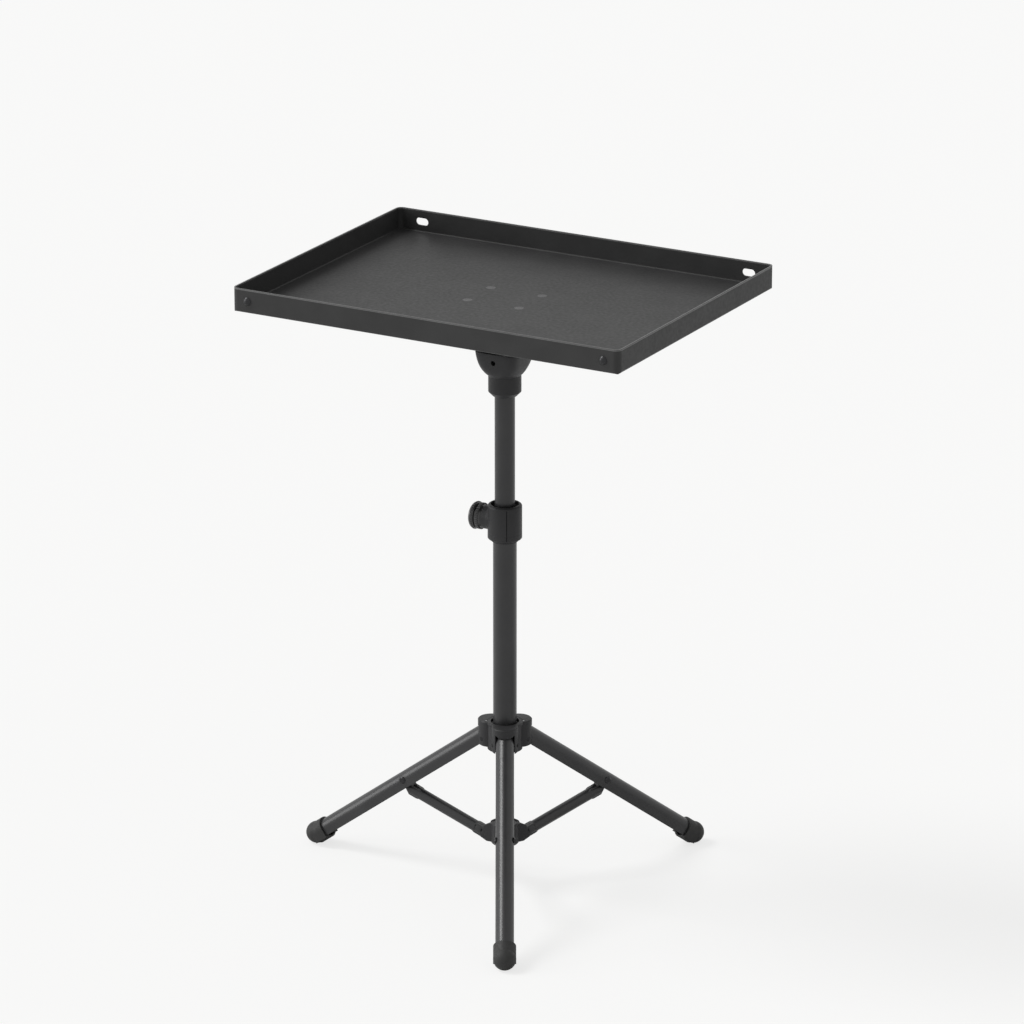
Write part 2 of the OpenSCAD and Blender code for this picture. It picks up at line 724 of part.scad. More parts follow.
lower_tube();
leg_hub();
hub_pins();
tube_plug();
height_collar();
guide_bush();
upper_tube();
head_socket();
tilt_yoke();
tilt_bolt();
tilt_nut();
yoke_screw();
tray_pan();
tilt_knuckle();
mount_screws();
tray_bolts();
clamp_knob();
clamp_screw();
leg(1);  // leg_1
leg(2);  // leg_2
leg(3);  // leg_3
foot(1);  // foot_1
foot(2);  // foot_2
foot(3);  // foot_3
stay_rivet(1);  // stay_rivet_1
stay_rivet(2);  // stay_rivet_2
stay_rivet(3);  // stay_rivet_3
stay(1);  // stay_1
stay(2);  // stay_2
stay(3);  // stay_3
spider();
spider_pins();
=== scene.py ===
"""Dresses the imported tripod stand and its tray: finishes, small details, studio and camera."""

import logging
import math
from dataclasses import dataclass
from enum import Enum

import bmesh
import bpy
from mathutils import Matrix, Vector


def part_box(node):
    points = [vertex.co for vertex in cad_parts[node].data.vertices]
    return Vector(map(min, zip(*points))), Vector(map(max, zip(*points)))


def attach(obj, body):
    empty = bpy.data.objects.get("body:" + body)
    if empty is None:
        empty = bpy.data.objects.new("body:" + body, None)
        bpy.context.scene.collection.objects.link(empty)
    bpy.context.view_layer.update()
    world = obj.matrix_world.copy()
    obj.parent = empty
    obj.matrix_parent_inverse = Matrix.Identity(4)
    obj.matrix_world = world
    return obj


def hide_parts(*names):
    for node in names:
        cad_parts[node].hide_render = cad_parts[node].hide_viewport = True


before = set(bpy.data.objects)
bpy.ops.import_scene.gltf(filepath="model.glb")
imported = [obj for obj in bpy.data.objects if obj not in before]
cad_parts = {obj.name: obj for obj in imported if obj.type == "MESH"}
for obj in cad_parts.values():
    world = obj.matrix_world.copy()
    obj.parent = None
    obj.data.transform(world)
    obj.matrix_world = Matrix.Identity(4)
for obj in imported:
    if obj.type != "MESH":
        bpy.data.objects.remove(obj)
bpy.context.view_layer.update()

logging.basicConfig(level=logging.INFO, format="%(levelname)s %(message)s")
log = logging.getLogger("tripod_stand")

MM = 0.001
Pair = tuple[float, float]
Triple = tuple[float, float, float]
Colour = Triple
Point = Triple
Faces = list[tuple[int, ...]]
Skin = tuple[list[Point], Faces]
Tree = bpy.types.NodeTree
Socket = bpy.types.NodeSocket

SHARP_ANGLE = math.radians(35)
NOISE_SPAN = (0.3, 0.7)
CLOUDS_PER_METRE = 35.0
SCUFFS_PER_METRE = 90.0
FLECK_SHARE = 0.35
COAT_ROUGHNESS = 0.12
EDGE_SAMPLES = 6
DRAWN_STRETCH = 0.06


class Texture(Enum):
    """The surface textures that the stand's pieces have."""

    POWDER = "powder"
    MOULDED = "moulded"
    DRAWN = "drawn"
    SOFT = "soft"


@dataclass(frozen=True)
class Finish:
    """A procedural finish, from its colour to its finest bump.

    Args:
        name: the material's name.
        slot: the record's material slot; not used.
        dark: the darker of the two colours that the surface varies between.
        light: the lighter one.
        rough: the lowest and highest roughness.
        texture: the kind of bump.
        grain: size of the fine texture, in metres.
        bump: strength of the fine texture.
        depth: height of the fine texture, in metres.
        edge: radius that sharp edges are eased to, in metres.
        metallic: how metallic the surface is.
        specular: the shader's own specular level.
        coat: weight of a thin clear layer.
        wear: colour that worn edges and scuffs tend to.
        wear_share: how much of the surface the scuffs take.
    """

    name: str
    slot: str
    dark: Colour
    light: Colour
    rough: Pair
    texture: Texture
    grain: float
    bump: float
    depth: float = 0.00005
    edge: float = 0.0004
    metallic: float = 0.0
    specular: float = 0.5
    coat: float = 0.0
    wear: Colour = (0.09, 0.09, 0.092)
    wear_share: float = 0.0

    def material(self) -> bpy.types.Material:
        """Makes the material, or returns the one made before.

        Returns:
            The node material.
        """
        old = bpy.data.materials.get(self.name)
        if old is not None:
            return old
        made = bpy.data.materials.new(self.name)
        made.use_nodes = True
        tree = made.node_tree
        shader = tree.nodes["Principled BSDF"]
        shader.inputs["Metallic"].default_value = self.metallic
        shader.inputs["Specular IOR Level"].default_value = self.specular
        shader.inputs["Coat Weight"].default_value = self.coat
        shader.inputs["Coat Roughness"].default_value = COAT_ROUGHNESS
        place = tree.nodes.new("ShaderNodeTexCoord").outputs["Object"]
        cloud = self._noise(tree, place, CLOUDS_PER_METRE, 4.0)
        fleck = self._noise(tree, place, 1 / self.grain * FLECK_SHARE, 3.0)
        tone = tree.nodes.new("ShaderNodeMix")
        tone.data_type = "RGBA"
        tone.inputs["A"].default_value = (*self.dark, 1)
        tone.inputs["B"].default_value = (*self.light, 1)
        tree.links.new(self._span(tree, cloud, *NOISE_SPAN), tone.inputs["Factor"])
        colour = tone.outputs["Result"]
        if self.wear_share > 0:
            colour = self._worn(tree, place, colour)
        tree.links.new(colour, shader.inputs["Base Color"])
        gloss = tree.nodes.new("ShaderNodeMapRange")
        gloss.inputs["From Min"].default_value = NOISE_SPAN[0]
        gloss.inputs["From Max"].default_value = NOISE_SPAN[1]
        gloss.inputs["To Min"].default_value = self.rough[0]
        gloss.inputs["To Max"].default_value = self.rough[1]
        tree.links.new(fleck, gloss.inputs["Value"])
        tree.links.new(gloss.outputs["Result"], shader.inputs["Roughness"])
        tree.links.new(self._bumps(tree, place), shader.inputs["Normal"])
        return made

    def _worn(self, tree: Tree, place: Socket, colour: Socket) -> Socket:
        """Adds faint scuffs to a colour.

        Args:
            tree: the material's nodes.
            place: the coordinates.
            colour: the colour before.

        Returns:
            The colour with scuffs.
        """
        scuff = self._noise(tree, place, SCUFFS_PER_METRE, 8.0)
        mask = self._span(tree, scuff, 1 - self.wear_share, 1.0)
        mix = tree.nodes.new("ShaderNodeMix")
        mix.data_type = "RGBA"
        mix.inputs["B"].default_value = (*self.wear, 1)
        tree.links.new(mask, mix.inputs["Factor"])
        tree.links.new(colour, mix.inputs["A"])
        return mix.outputs["Result"]

    def _bumps(self, tree: Tree, place: Socket) -> Socket:
        """Makes the surface normal: eased edges under the texture's own bump.

        Args:
            tree: the material's nodes.
            place: the coordinates.

        Returns:
            The normal's socket.
        """
        ease = tree.nodes.new("ShaderNodeBevel")
        ease.samples = EDGE_SAMPLES
        ease.inputs["Radius"].default_value = self.edge
        scale = 1 / self.grain
        if self.texture is Texture.POWDER:
            height = self._noise(tree, place, scale, 2.0)
        elif self.texture is Texture.MOULDED:
            cells = tree.nodes.new("ShaderNodeTexVoronoi")
            cells.feature = "SMOOTH_F1"
            cells.inputs["Scale"].default_value = scale
            tree.links.new(place, cells.inputs["Vector"])
            height = cells.outputs["Distance"]
        elif self.texture is Texture.DRAWN:
            stretch = tree.nodes.new("ShaderNodeMapping")
            stretch.inputs["Scale"].default_value = (1.0, 1.0, DRAWN_STRETCH)
            tree.links.new(place, stretch.inputs["Vector"])
            height = self._noise(tree, stretch.outputs["Vector"], scale, 2.0)
        else:
            height = self._noise(tree, place, scale, 6.0)
        bump = tree.nodes.new("ShaderNodeBump")
        bump.inputs["Strength"].default_value = self.bump
        bump.inputs["Distance"].default_value = self.depth
        tree.links.new(height, bump.inputs["Height"])
        tree.links.new(ease.outputs["Normal"], bump.inputs["Normal"])
        return bump.outputs["Normal"]

    @staticmethod
    def _noise(tree: Tree, place: Socket, scale: float, detail: float) -> Socket:
        """Adds a noise texture.

        Args:
            tree: the material's nodes.
            place: the coordinates.
            scale: cells per metre.
            detail: octaves.

        Returns:
            The noise from 0 to 1.
        """
        noise = tree.nodes.new("ShaderNodeTexNoise")
        noise.inputs["Scale"].default_value = scale
        noise.inputs["Detail"].default_value = detail
        tree.links.new(place, noise.inputs["Vector"])
        return noise.outputs["Fac"]

    @staticmethod
    def _span(tree: Tree, value: Socket, low: float, high: float) -> Socket:
        """Stretches the values between low and high to the whole of 0 to 1.

        Args:
            tree: the material's nodes.
            value: the value to stretch.
            low: what becomes 0.
            high: what becomes 1.

        Returns:
            The stretched value.
        """
        span = tree.nodes.new("ShaderNodeMapRange")
        span.inputs["From Min"].default_value = low
        span.inputs["From Max"].default_value = high
        tree.links.new(value, span.inputs["Value"])
        return span.outputs["Result"]


TUBE_PAINT = Finish(
    "tube_powder_coat", "black_paint", (0.022, 0.022, 0.023), (0.029, 0.029, 0.030), (0.31, 0.35),
    Texture.POWDER, 0.0009, 0.10, depth=0.00003, edge=0.0006, specular=0.38,
    wear=(0.055, 0.055, 0.056), wear_share=0.28)
TRAY_PAINT = Finish(
    "tray_powder_coat", "tray_paint", (0.028, 0.028, 0.028), (0.035, 0.035, 0.035), (0.44, 0.56),
    Texture.POWDER, 0.0012, 0.45, depth=0.00006, edge=0.0006, specular=0.20,
    wear=(0.06, 0.06, 0.061), wear_share=0.26)
# The rim's colours are lighter than the tray's, to paint a highlight along the top edge; the scuffs on it are
# wear.
RIM_PAINTED_HIGHLIGHT = Finish(
    "tray_rim_painted_highlight", "tray_paint", (0.075, 0.075, 0.075), (0.095, 0.095, 0.095), (0.30, 0.38),
    Texture.POWDER, 0.0012, 0.25, depth=0.00004, edge=0.0003, specular=0.5,
    wear=(0.13, 0.13, 0.13), wear_share=0.35)
PLASTIC = Finish(
    "moulded_plastic", "black_plastic", (0.023, 0.023, 0.024), (0.031, 0.031, 0.032), (0.40, 0.52),
    Texture.MOULDED, 0.0008, 0.22, edge=0.0007, specular=0.18,
    wear=(0.05, 0.05, 0.05), wear_share=0.22)
# Near-black colours that paint the shade inside the collar's clamping slit.
SLIT_PAINTED_SHADE = Finish(
    "slit_shadow", "black_plastic", (0.004, 0.004, 0.004), (0.008, 0.008, 0.008), (0.60, 0.75),
    Texture.MOULDED, 0.0008, 0.10, edge=0.0001, specular=0.05)
KNOB_PLASTIC = Finish(
    "knob_plastic", "knob_plastic", (0.016, 0.016, 0.017), (0.023, 0.023, 0.024), (0.24, 0.34),
    Texture.MOULDED, 0.0010, 0.12, edge=0.0005, specular=0.4, coat=0.15)
RUBBER = Finish(
    "foot_rubber", "black_rubber", (0.023, 0.023, 0.023), (0.032, 0.032, 0.031), (0.50, 0.66),
    Texture.SOFT, 0.0011, 0.35, edge=0.0008, specular=0.25,
    wear=(0.07, 0.068, 0.065), wear_share=0.32)
STEEL = Finish(
    "black_oxide_steel", "dark_steel", (0.020, 0.020, 0.021), (0.034, 0.034, 0.036), (0.26, 0.38),
    Texture.DRAWN, 0.0006, 0.20, edge=0.0003, metallic=0.6, specular=0.4)


def finished(piece: bpy.types.Object, finish: Finish) -> bpy.types.Object:
    """Gives a piece its finish, in place of any material that it had.

    Args:
        piece: a mesh object.
        finish: its finish.

    Returns:
        The piece.
    """
    piece.data.materials.clear()
    piece.data.materials.append(finish.material())
    return piece


def dress_nodes(names: list[str], finish: Finish) -> None:
    """Dresses nodes of the frame, with their meshes left as they are.

    Args:
        names: the nodes.
        finish: their finish.
    """
    for name in names:
        finished(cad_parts[name], finish)
        log.info("dressed %s with %s", name, finish.name)


def closed_mesh(name: str, vertices: list[Point], faces: Faces) -> bpy.types.Mesh:
    """Makes a mesh whose normals point outward.

    Args:
        name: the mesh's name.
        vertices: its points, in metres.
        faces: its faces.

    Returns:
        The mesh.
    """
    data = bpy.data.meshes.new(name)
    data.from_pydata([tuple(v) for v in vertices], [], faces)
    data.validate()
    work = bmesh.new()
    work.from_mesh(data)
    bmesh.ops.recalc_face_normals(work, faces=work.faces)
    work.to_mesh(data)
    work.free()
    return data


def mesh_piece(name: str, vertices: list[Point], faces: Faces, finish: Finish, body: str) -> bpy.types.Object:
    """Makes a closed, smooth-shaded piece that rides on a body.

    Args:
        name: the piece's name.
        vertices: its points, in metres.
        faces: its faces.
        finish: its finish.
        body: the frame's body that it moves with.

    Returns:
        The new object.
    """
    data = closed_mesh(name, vertices, faces)
    data.shade_smooth()
    data.set_sharp_from_angle(angle=SHARP_ANGLE)
    piece = bpy.data.objects.new(name, data)
    bpy.context.scene.collection.objects.link(piece)
    finished(piece, finish)
    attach(piece, body)
    log.info("made %s on %s, %d faces", name, body, len(data.polygons))
    return piece


def circle(radius: float, steps: int) -> list[Pair]:
    """Spaces points evenly round a circle.

    Args:
        radius: the circle's radius.
        steps: how many points.

    Returns:
        The points.
    """
    turns = [math.tau * k / steps for k in range(steps)]
    return [(radius * math.cos(turn), radius * math.sin(turn)) for turn in turns]


def directions(angle: float) -> tuple[Vector, Vector]:
    """Finds the level directions that point away from the column and across.

    Args:
        angle: the angle round the column, in degrees.

    Returns:
        The direction outward and the one across it.
    """
    turn = math.radians(angle)
    return Vector((math.cos(turn), math.sin(turn), 0)), Vector((-math.sin(turn), math.cos(turn), 0))


def join(skin: Skin, more: Skin) -> None:
    """Adds a skin to another as a part that shares no point with it.

    Args:
        skin: the skin that grows.
        more: the skin to add.
    """
    vertices, faces = skin
    start = len(vertices)
    vertices += more[0]
    faces += [tuple(start + v for v in face) for face in more[1]]


def sweep_loop(path: list[Vector], normals: list[Vector], section: list[Pair]) -> Skin:
    """Sweeps a closed section along a closed level path.

    Args:
        path: the path's points.
        normals: the outward direction at each point.
        section: the section's points, as distance outward and height.

    Returns:
        The vertices and faces.
    """
    vertices, faces = [], []
    count, sides = len(path), len(section)
    for point, out in zip(path, normals):
        vertices += [tuple(point + out * x + Vector((0, 0, z))) for x, z in section]
    for i in range(count):
        j = (i + 1) % count
        for a in range(sides):
            b = (a + 1) % sides
            faces.append((i * sides + a, j * sides + a, j * sides + b, i * sides + b))
    return vertices, faces


def loft(rings: list[list[Point]], close_ends: bool = True) -> Skin:
    """Joins rings of as many points into a skin.

    Args:
        rings: the rings, from one end to the other.
        close_ends: whether the first and the last ring are filled, or else joined to each other.

    Returns:
        The vertices and faces.
    """
    sides = len(rings[0])
    vertices = [point for ring in rings for point in ring]
    faces = []
    joins = len(rings) - 1 if close_ends else len(rings)
    for i in range(joins):
        j = (i + 1) % len(rings)
        for a in range(sides):
            b = (a + 1) % sides
            faces.append((i * sides + a, i * sides + b, j * sides + b, j * sides + a))
    if close_ends:
        faces.append(tuple(reversed(range(sides))))
        faces.append(tuple(range((len(rings) - 1) * sides, len(rings) * sides)))
    return vertices, faces


def carved(skin: Skin, cutter: Skin) -> Skin:
    """Takes one closed skin out of another.

    Args:
        skin: the body's skin.
        cutter: the skin to take out of it.

    Returns:
        The vertices and faces that are left.
    """
    parts = []
    for name, (vertices, faces) in (("carved_body", skin), ("carving_tool", cutter)):
        part = bpy.data.objects.new(name, closed_mesh(name, vertices, faces))
        bpy.context.scene.collection.objects.link(part)
        parts.append(part)
    body, tool = parts
    cut = body.modifiers.new("carve", "BOOLEAN")
    cut.operation = "DIFFERENCE"
    cut.solver = "EXACT"
    cut.use_self = True
    cut.object = tool
    bpy.context.view_layer.update()
    made = body.evaluated_get(bpy.context.evaluated_depsgraph_get()).to_mesh()
    result = [tuple(v.co) for v in made.vertices], [tuple(f.vertices) for f in made.polygons]
    log.info("carved a skin of %d faces to %d", len(skin[1]), len(result[1]))
    for part in parts:
        bpy.data.objects.remove(part)
    return result


def turned_ring(profile: list[Pair], steps: int = 96) -> Skin:
    """Turns a closed profile round the column's axis.

    Args:
        profile: radius and height of the profile's points, in order.
        steps: points round the axis.

    Returns:
        The vertices and faces.
    """
    rings = []
    for radius, height in profile:
        rings.append([(x, y, height) for x, y in circle(radius, steps)])
    return loft(rings, close_ends=False)


@dataclass
class Tray:
    """The sheet steel tray and what is fixed to it."""

    wall: float = 1.5 * MM
    corner: float = 6.0 * MM
    rim: tuple[Pair, ...] = (
        (0.79, -1.30), (0.79, -0.34), (0.69, -0.10), (0.45, 0.03),
        (-0.45, 0.03), (-0.69, -0.10), (-0.79, -0.34), (-0.79, -1.30))
    corner_steps: int = 10

    def build(self) -> None:
        """Dresses the tray and eases its rim."""
        dress_nodes(["tray_pan"], TRAY_PAINT)
        dress_nodes(["tilt_knuckle"], PLASTIC)
        dress_nodes(["mount_screws", "tray_bolts"], STEEL)
        self.eased_rim()

    def eased_rim(self) -> bpy.types.Object:
        """Eases the walls' top edge, in lighter colours that paint a highlight along it.

        Returns:
            The rim.
        """
        low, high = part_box("tray_pan")
        reach = self.wall / 2
        half = ((high.x - low.x) / 2 - reach, (high.y - low.y) / 2 - reach)
        middle = Vector(((high.x + low.x) / 2, (high.y + low.y) / 2, high.z))
        radius = self.corner - reach
        path, normals = [], []
        for quarter, (sx, sy) in enumerate(((1, 1), (-1, 1), (-1, -1), (1, -1))):
            centre = middle + Vector((sx * (half[0] - radius), sy * (half[1] - radius), 0))
            for step in range(self.corner_steps + 1):
                angle = math.pi / 2 * (quarter + step / self.corner_steps)
                out = Vector((math.cos(angle), math.sin(angle), 0))
                path.append(centre + out * radius)
                normals.append(out)
        section = [(x * MM, z * MM) for x, z in self.rim]
        return mesh_piece("tray_rim", *sweep_loop(path, normals, section), RIM_PAINTED_HIGHLIGHT, "tray")


@dataclass
class Head:
    """The tilting head between the mast and the tray."""

    bowl_bottom: float = 506.0 * MM
    bowl_top: float = 531.0 * MM
    bowl_half: Pair = (22.2 * MM, 23.2 * MM)
    bowl_profile: tuple[Triple, ...] = (
        (0.0, 0.690, 2.0), (0.02, 0.708, 2.05), (0.07, 0.760, 2.2), (0.14, 0.808, 2.5), (0.24, 0.852, 3.0),
        (0.36, 0.893, 3.6), (0.50, 0.930, 4.2), (0.68, 0.965, 4.8), (0.85, 0.988, 5.2), (0.97, 1.0, 5.4),
        (1.0, 0.99, 5.4))
    pocket_half: Pair = (13.0 * MM, 15.5 * MM)
    pocket_depth: float = 7.0 * MM
    pocket_power: float = 8.0
    ear: Pair = (13.0 * MM, 19.0 * MM)
    ear_radius: float = 10.0 * MM
    ear_flare: float = 3.0 * MM
    ear_root: float = 2.0 * MM
    ear_steps: int = 24
    tilt_z: float = 549.0 * MM
    screw_z: float = 522.5 * MM
    screw_radius: float = 2.4 * MM
    screw_sink: float = 5.0 * MM
    screw_fit: float = 0.97
    screw_crown: float = 0.8
    screw_depths: Pair = (1.5 * MM, 0.4 * MM)
    screw_points: int = 36
    hexagon: float = 1.25 * MM
    hexagon_depth: float = 1.0 * MM
    bore_start: float = 2.0 * MM
    bore_points: int = 40
    points: int = 96

    def build(self) -> None:
        """Dresses the head and gives the yoke its moulded form."""
        dress_nodes(["head_socket"], PLASTIC)
        dress_nodes(["tilt_bolt", "tilt_nut"], STEEL)
        self.yoke()
        self.set_screw()

    def level(self, half: Pair, z: float, power: float) -> list[Point]:
        """Makes one level ring of the yoke.

        Args:
            half: half width and half depth.
            z: height.
            power: 2 is an ellipse, and more is squarer.

        Returns:
            The ring's points.
        """
        ring = []
        for place in circle(1.0, self.points):
            x, y = (reach * math.copysign(abs(at) ** (2 / power), at) for reach, at in zip(half, place))
            ring.append((x, y, z))
        return ring

    def yoke(self) -> bpy.types.Object:
        """Builds the yoke's bowl with its pocket and its two ears.

        Returns:
            The yoke.
        """
        rings = []
        rise = self.bowl_top - self.bowl_bottom
        for share, scale, power in self.bowl_profile:
            half = (self.bowl_half[0] * scale, self.bowl_half[1] * scale)
            rings.append(self.level(half, self.bowl_bottom + rise * share, power))
        rings.append(self.level(self.pocket_half, self.bowl_top, self.pocket_power))
        rings.append(self.level(self.pocket_half, self.bowl_top - self.pocket_depth, self.pocket_power))
        skin = loft(rings)
        for side in (-1, 1):
            join(skin, self.ear_skin(side))
        piece = mesh_piece("yoke", *carved(skin, self.bore()), PLASTIC, "mast")
        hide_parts("tilt_yoke")
        return piece

    def ear_skin(self, side: int) -> Skin:
        """Draws one of the yoke's ears.

        Args:
            side: -1 for the left ear and 1 for the right one.

        Returns:
            The vertices and faces.
        """
        root = (self.ear_radius + self.ear_flare, self.bowl_top - self.ear_root)
        arch = [math.pi * k / self.ear_steps for k in range(self.ear_steps + 1)]
        radius = self.ear_radius
        outline = [(-root[0], root[1])]
        outline += [(-radius * math.cos(turn), self.tilt_z + radius * math.sin(turn)) for turn in arch]
        outline.append(root)
        return loft([[(side * x, y, z) for y, z in outline] for x in self.ear])

    def upright(self, ring: list[Pair], y: float) -> list[Point]:
        """Stands a ring up round the set screw's axis, at y along it."""
        return [(x, y, self.screw_z + z) for x, z in ring]

    def bore(self) -> Skin:
        """Makes the cutter for the set screw's bore.

        Returns:
            The vertices and faces.
        """
        reach = self.bowl_half[1]
        hole = circle(self.screw_radius, self.bore_points)
        return loft([self.upright(hole, y) for y in (-reach - self.bore_start, self.screw_sink - reach)])

    def set_screw(self) -> bpy.types.Object:
        """Makes the recessed set screw with its hexagon socket.

        Returns:
            The screw.
        """
        face = self.screw_sink - self.bowl_half[1]
        spans = [(self.screw_radius * self.screw_fit, face + depth) for depth in self.screw_depths]
        spans.append((self.screw_radius * self.screw_crown, face))
        rings = [self.upright(circle(radius, self.screw_points), y) for radius, y in spans]
        for y in (face, face + self.hexagon_depth):
            ring = []
            for k in range(self.screw_points):
                turn = math.tau * k / self.screw_points
                reach = self.hexagon * math.cos(math.pi / 6) / math.cos((turn % (math.pi / 3)) - math.pi / 6)
                ring.append((reach * math.cos(turn), reach * math.sin(turn)))
            rings.append(self.upright(ring, y))
        piece = mesh_piece("yoke_set_screw", *loft(rings), STEEL, "mast")
        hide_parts("yoke_screw")
        return piece


@dataclass
class Column:
    """The telescopic column with its collar and clamp knob."""

    knob_z: float = 364.0 * MM
    rims: tuple[Triple, ...] = ((28.6 * MM, 31.0 * MM, 12.45 * MM), (22.6 * MM, 26.0 * MM, 11.85 * MM))
    rib_radius: float = 0.75 * MM
    rib_ease: float = 0.35 * MM
    rib_tip: float = 0.45
    rib_sides: int = 8
    ribs: int = 36
    slit_angle: float = -55.0
    slit_radius: float = 16.1 * MM
    slit_span: Pair = (347.8 * MM, 377.6 * MM)
    slit_width: float = 0.7 * MM
    slit_rise: float = 0.03 * MM
    slit_section: tuple[Pair, ...] = ((-0.5, -6.0), (-0.5, 1.0), (0.0, 1.4), (0.5, 1.0), (0.5, -6.0))
    lip_profile: tuple[Pair, ...] = (
        (13.0, 346.4), (15.4, 346.4), (16.12, 347.3), (16.12, 352.0), (13.0, 352.0))

    def build(self) -> None:
        """Dresses the tubes, the collar and the knob, adds their fine moulded detail, and paints the shade of
        the collar's slit.
        """
        dress_nodes(["lower_tube", "upper_tube"], TUBE_PAINT)
        dress_nodes(["height_collar", "guide_bush", "tube_plug"], PLASTIC)
        dress_nodes(["clamp_knob"], KNOB_PLASTIC)
        dress_nodes(["clamp_screw"], STEEL)
        self.grip_ribs()
        self.slit()
        self.lip()

    def grip_ribs(self) -> bpy.types.Object:
        """Sets fine ribs round the knob's two rims.

        Returns:
            The ribs as one piece.
        """
        skin: Skin = ([], [])
        ease, tip = self.rib_ease, self.rib_tip
        for near, far, radius in self.rims:
            stations = ((near, tip), (near + ease, 1.0), (far - ease, 1.0), (far, tip))
            for k in range(self.ribs):
                join(skin, loft(self.rib_rings(stations, radius, math.tau * (k + 0.5) / self.ribs)))
        return mesh_piece("knob_grip_ribs", *skin, KNOB_PLASTIC, "knob")

    def rib_rings(self, stations: tuple[Pair, ...], radius: float, turn: float) -> list[list[Point]]:
        """Draws the rings of one rib.

        Args:
            stations: distance along the knob's axis and share of the rib's radius at each ring.
            radius: the rib's distance from the axis.
            turn: the rib's angle round the axis, in radians.

        Returns:
            The rings.
        """
        c, s = math.cos(turn), math.sin(turn)
        rings = []
        for reach, size in stations:
            ring = []
            for x, y in circle(self.rib_radius * size, self.rib_sides):
                ring.append((-reach, (radius + x) * c - y * s, self.knob_z + (radius + x) * s + y * c))
            rings.append(ring)
        return rings

    def slit(self) -> bpy.types.Object:
        """Paints the shade of the clamping slit down the collar, as a near-black strip that lies flush on it.

        Returns:
            The strip of painted shade.
        """
        out, side = directions(self.slit_angle)
        rings = []
        for z in self.slit_span:
            ring = []
            for w, h in self.slit_section:
                reach = self.slit_radius + self.slit_rise * h
                ring.append(tuple(out * reach + side * self.slit_width * w + Vector((0, 0, z))))
            rings.append(ring)
        return mesh_piece("collar_slit_painted_shade", *loft(rings), SLIT_PAINTED_SHADE, "column")

    def lip(self) -> bpy.types.Object:
        """Carries the collar's barrel down to its full length."""
        profile = [(radius * MM, z * MM) for radius, z in self.lip_profile]
        return mesh_piece("collar_lip", *turned_ring(profile), PLASTIC, "column")


@dataclass
class Base:
    """The hub, the three folding legs with their stays, and the spider."""

    count: int = 3
    ring_inner: float = 11.15 * MM
    ring_outer: float = 13.35 * MM
    ring_span: Pair = (160.6 * MM, 161.9 * MM)
    ring_ease: float = 0.25 * MM
    cap_radii: Pair = (13.42 * MM, 17.4 * MM)
    cap_span: Pair = (162.6 * MM, 164.46 * MM)
    leg_1_angle: float = -61.0
    stay_slope: float = 19.0
    stay_pivot: Pair = (17.5 * MM, 46.8784 * MM)
    sleeve: tuple[Pair, ...] = ((6.2, 0.55), (6.6, 0.80), (7.4, 0.94), (8.6, 1.0), (13.6, 1.0), (14.6, 0.97))
    sleeve_points: int = 48
    sleeve_half: Pair = (4.85 * MM, 5.42 * MM)

    def build(self) -> None:
        """Dresses the folding base and adds the hub's ring and cover and the stays' sleeves."""
        legs = range(1, self.count + 1)
        dress_nodes(["leg_hub", "spider"], PLASTIC)
        dress_nodes([f"leg_{k}" for k in legs] + [f"stay_{k}" for k in legs], TUBE_PAINT)
        dress_nodes([f"foot_{k}" for k in legs], RUBBER)
        dress_nodes(["hub_pins", "spider_pins"] + [f"stay_rivet_{k}" for k in legs], STEEL)
        self.recess_ring()
        self.slot_cover()
        for k in legs:
            self.stay_sleeve(k)

    def recess_ring(self) -> bpy.types.Object:
        """Lays the retaining ring in the recess of the hub's top.

        Returns:
            The ring.
        """
        low, high = self.ring_span
        inner, outer, ease = self.ring_inner, self.ring_outer, self.ring_ease
        profile = [(inner, low), (outer, low), (outer, high - ease), (outer - ease, high)]
        profile += [(inner + ease, high), (inner, high - ease)]
        return mesh_piece("hub_recess_ring", *turned_ring(profile), PLASTIC, "column")

    def slot_cover(self) -> bpy.types.Object:
        """Covers the legs' slots where they open the hub's top.

        Returns:
            The cover.
        """
        (inner, outer), (bottom, top) = self.cap_radii, self.cap_span
        profile = [(inner, bottom), (outer, bottom), (outer, top), (inner, top)]
        return mesh_piece("hub_slot_cover", *turned_ring(profile), PLASTIC, "column")

    def stay_sleeve(self, k: int) -> bpy.types.Object:
        """Draws a stay's round end over its flat, up to the spider's fork.

        Args:
            k: the stay's number.

        Returns:
            The sleeve.
        """
        slope = math.radians(self.stay_slope)
        out, side = directions(self.leg_1_angle + 360 / self.count * (k - 1))
        along = out * math.cos(slope) + Vector((0, 0, math.sin(slope)))
        rise = Vector((0, 0, math.cos(slope))) - out * math.sin(slope)
        start = out * self.stay_pivot[0] + Vector((0, 0, self.stay_pivot[1]))
        rings = []
        for reach, size in self.sleeve:
            centre = start + along * reach * MM
            width, height = (half * size for half in self.sleeve_half)
            ring = []
            for c, s in circle(1.0, self.sleeve_points):
                ring.append(tuple(centre + side * width * c + rise * height * s))
            rings.append(ring)
        return mesh_piece(f"stay_sleeve_{k}", *loft(rings), TUBE_PAINT, f"stay_{k}")


@dataclass(frozen=True)
class Lamp:
    """A large soft studio lamp, far from the stand.

    Args:
        name: the lamp's name.
        azimuth: direction from the stand, in degrees, 0 in front.
        elevation: height of the lamp above level, in degrees.
        strength: irradiance of the lamp.
        spread: the lamp's size as seen from the stand, in degrees.
    """

    name: str
    azimuth: float
    elevation: float
    strength: float
    spread: float


